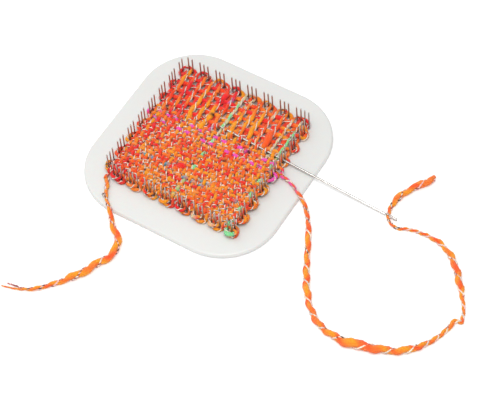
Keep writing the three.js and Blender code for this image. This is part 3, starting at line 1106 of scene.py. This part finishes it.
class LOOM_OT_pins(bpy.types.Operator):
    """Add the steel pins, one piece for each group"""

    bl_idname = "loom.pins"
    bl_label = "Pins"

    def execute(self, context):
        settings = context.scene.loom_pins
        steel = drawn_steel("drawn_steel_wire", settings.colour, 0.3, (1, 1, 0.04))
        rng = random.Random(11)
        for side in FREE_PLACES:
            for number, group in enumerate(pin_groups(side), 1):
                shape = bmesh.new()
                for k in group:
                    self.add_pin(shape, on_grid(*pin_place(side, k)), settings, rng)
                node = f"pins_{side}_{number}"
                add_mesh_piece(f"{side}_pins_{number}", to_mesh(shape, node), steel,
                               "loom", "pins", node)
        return {"FINISHED"}

    def add_pin(self, shape, foot, settings, rng):
        radius = settings.diameter / 2
        depth = PIN_TOP - BOARD_TOP + settings.sunk
        lean = Matrix.Rotation(rng.uniform(-1, 1) * settings.lean, 4, "X") @ Matrix.Rotation(
            rng.uniform(-1, 1) * settings.lean, 4, "Y")
        place = Matrix.Translation(foot) @ lean @ Matrix.Translation(
            (0, 0, depth / 2 - settings.sunk))
        made = bmesh.ops.create_cone(shape, cap_ends=True, segments=14, radius1=radius,
                                     radius2=radius, depth=depth, matrix=place)
        top = max(v.co.z for v in made["verts"])
        rim = dict.fromkeys(e for v in made["verts"] if v.co.z > top - radius for e in v.link_edges
                            if all(w.co.z > top - radius for w in e.verts))
        bmesh.ops.bevel(shape, geom=list(rim), offset=0.45 * radius, offset_type="OFFSET",
                        affect="EDGES", segments=3, profile=0.5, material=-1)


class LOOM_OT_needle(bpy.types.Operator):
    """Add the weaving needle with its slot eye"""

    bl_idname = "loom.needle"
    bl_label = "Needle"

    def execute(self, context):
        settings = context.scene.loom_needle
        radius = settings.diameter / 2
        eye = settings.eye_length + 2 * settings.eye_wall
        length = (NEEDLE_HIGH.x - NEEDLE_LOW.x) / -NEEDLE_AXIS.x
        profile = [(eye - 1.6 * MM, 0.0), (eye - 1.4 * MM, 0.62 * radius), (eye + 0.5 * MM, radius),
                   (length - 9 * MM, radius), (length - 5 * MM, 0.9 * radius),
                   (length - 2 * MM, 0.62 * radius), (length - 0.6 * MM, 0.36 * radius),
                   (length - 0.1 * MM, 0.16 * radius), (length, 0.0)]
        shape = bmesh.new()
        corners = [shape.verts.new((x, 0, r)) for x, r in profile]
        edges = [shape.edges.new(pair) for pair in zip(corners, corners[1:])]
        bmesh.ops.spin(shape, geom=corners + edges, cent=(0, 0, 0), axis=(1, 0, 0),
                       angle=2 * math.pi, steps=20, use_merge=True, use_duplicate=False)
        bmesh.ops.remove_doubles(shape, verts=shape.verts[:], dist=0.001 * MM)
        self.add_eye(shape, settings, eye)
        turn_to_line = Vector((1, 0, 0)).rotation_difference(NEEDLE_AXIS).to_matrix().to_4x4()
        eye_end = self.eye_end(length)
        bmesh.ops.transform(shape, matrix=Matrix.Translation(eye_end) @ turn_to_line,
                            verts=shape.verts[:])
        steel = drawn_steel("polished_needle_steel", settings.colour, 0.26, (0.04, 1, 1), 0.04)
        add_mesh_piece("needle", to_mesh(shape, "needle"), steel, "needle", "needle",
                       "weaving_needle")
        return {"FINISHED"}

    def eye_end(self, length):
        """The needle's end on the table, from the box of its node."""
        drift = NEEDLE_AXIS.y * length
        return Vector((NEEDLE_HIGH.x, NEEDLE_HIGH.y - drift - 0.25 * MM,
                       NEEDLE_LOW.z + 1.15 * MM))

    def add_eye(self, shape, settings, eye):
        """A flattened loop of steel round the slot."""
        wall = settings.eye_wall
        middle_radius = settings.eye_width / 2 + wall / 2
        curve = bpy.data.curves.new("eye", "CURVE")
        curve.dimensions = "3D"
        curve.bevel_depth = wall / 2 * 1.05
        curve.bevel_resolution = 3
        curve.twist_mode = "Z_UP"
        spline = curve.splines.new("POLY")
        ends = []
        near_end = wall / 2 + middle_radius
        for centre, start in ((near_end, 90), (eye - near_end, -90)):
            for step in range(9):
                angle = math.radians(start + 22.5 * step)
                ends.append((centre + middle_radius * math.cos(angle), 0,
                             middle_radius * math.sin(angle), 1))
        spline.points.add(len(ends) - 1)
        for point, place in zip(spline.points, ends):
            point.co = place
        spline.use_cyclic_u = True
        loop = bpy.data.objects.new("eye", curve)
        bpy.context.scene.collection.objects.link(loop)
        bpy.context.view_layer.update()
        mesh = bpy.data.meshes.new_from_object(
            loop.evaluated_get(bpy.context.evaluated_depsgraph_get()))
        bpy.data.objects.remove(loop)
        mesh.transform(Matrix.Diagonal((1, 1.9, 1, 1)))
        shape.from_mesh(mesh)
        bpy.data.meshes.remove(mesh)


class LOOM_OT_weave(bpy.types.Operator):
    """Add the yarn between the pins: three laid layers and the rows woven through them"""

    bl_idname = "loom.weave"
    bl_label = "Weave"

    def execute(self, context):
        settings = context.scene.loom_yarn
        layers = (
            ("first_layer_yarn", "first", first_layer(settings), ("woven_cloth", "open_warp")),
            ("cross_layer_yarn", "cross", cross_layer(settings), ()),
            ("second_layer_yarn", "second", second_layer(settings), ()),
            ("woven_rows_yarn", "woven", woven_rows(settings), ()),
        )
        for index, (name, kind, points, nodes) in enumerate(layers):
            rng = random.Random(settings.seed + index)
            self.add_layer(name, kind, points, nodes, settings, rng)
        return {"FINISHED"}

    def add_layer(self, name, kind, points, nodes, settings, rng):
        loose = []
        for x, y, height in points:
            inside = 0.2 < x < PITCHES - 0.2 and 0.2 < y < PITCHES - 0.2
            stray = 0.05 if inside else 0.02
            loose.append((x + rng.uniform(-stray, stray), y + rng.uniform(-stray, stray),
                          height / PITCH + rng.uniform(-0.04, 0.04)))
        line, places = smooth_line(loose, 0.26)
        places = places * PITCH
        length = places[-1]
        swell = wander(rng, length, 9 * MM)
        slub = wander(rng, length, 31 * MM)
        tone = wander(rng, length, 23 * MM)
        patch = wander(rng, length, 6 * MM)
        other = wander(rng, length, 11 * MM)
        radii, warm, cool = [], [], []
        for (x, y, _), place in zip(line, places):
            thick = 1 + 0.17 * swell(place) + 0.34 * max(slub(place) - 0.45, 0)
            laid = open_thickness(kind, x, y)
            if laid:
                thick = laid * (1.03 + 0.08 * swell(place))
            elif kind == "second":
                thick *= 1.05
            elif y > WOVEN_TO + 2:
                thick *= OPEN_SPREAD.get(kind, 1.3)
            thick += lump(kind, x, y)
            beyond = min(x, PITCHES - x, y, PITCHES - y)
            if abs(beyond) < 0.55:
                thick *= 0.86
            radii.append(thick * settings.weave_diameter / 2)
            marked = accent(kind, x, y)
            lean = 0.1 - 0.66 * max(1 - x / 13, 0)
            # Both flanks take the painted shade tint, which deepens the cloth's oranges as packed
            # yarn looks.
            warm.append(dye_with_painted_shade(None if marked == "black" else marked,
                                   base_dye(place, tone, patch, lean)))
            fleck = rng.random() < FLECK_CHANCE
            cool.append(dye_with_painted_shade("black" if fleck else marked,
                                   base_dye(place, tone, other, lean)))
        world = np.array([on_grid(x, y, z * PITCH) for x, y, z in line])
        dark = (np.array(cool) == DYES["black"]).all(axis=1)
        dyes = (blur(np.array(warm), 5), blur(np.array(cool), 3))
        dyes[1][dark] = DYES["black"]
        pulled = np.clip((line[:, 1] - WOVEN_TO) / 2, 0, 1) * (kind != "woven")
        spin_yarn(name, world, places, radii, dyes, settings, rng, "weaving", nodes,
                  pulled=pulled)
        add_stray_fibres(name + "_fibres", world, radii, HAIRS_PER_LAYER,
                         bpy.data.materials["stray_fibre"], rng, "weaving")


# ---------------------------------------------------------------- panel and registration


class LOOM_PT_panel(bpy.types.Panel):
    """The loom's pieces, in the order that they are built"""

    bl_label = "Pin loom"
    bl_idname = "LOOM_PT_panel"
    bl_space_type = "VIEW_3D"
    bl_region_type = "UI"
    bl_category = "Pin loom"

    def draw(self, context):
        for group in ("loom_stage", "loom_board", "loom_pins", "loom_needle", "loom_yarn"):
            box = self.layout.box()
            for key in getattr(context.scene, group).__annotations__:
                box.prop(getattr(context.scene, group), key)
        for operator in OPERATORS:
            self.layout.operator(operator.bl_idname)


GROUPS = {
    "loom_stage": StageSettings,
    "loom_board": BoardSettings,
    "loom_pins": PinSettings,
    "loom_needle": NeedleSettings,
    "loom_yarn": YarnSettings,
}
OPERATORS = (LOOM_OT_stage, LOOM_OT_tails, LOOM_OT_board, LOOM_OT_pins, LOOM_OT_needle,
             LOOM_OT_weave)


def register():
    for cls in (*GROUPS.values(), *OPERATORS, LOOM_PT_panel):
        bpy.utils.register_class(cls)
    for name, group in GROUPS.items():
        setattr(bpy.types.Scene, name, bpy.props.PointerProperty(type=group))


def unregister():
    for name in GROUPS:
        delattr(bpy.types.Scene, name)
    for cls in (LOOM_PT_panel, *reversed(OPERATORS), *reversed(GROUPS.values())):
        bpy.utils.unregister_class(cls)


def main():
    register()
    bpy.ops.loom.stage()
    bpy.ops.loom.tails()
    bpy.ops.loom.board()
    bpy.ops.loom.pins()
    bpy.ops.loom.needle()
    bpy.ops.loom.weave()


if __name__ == "__main__":
    main()
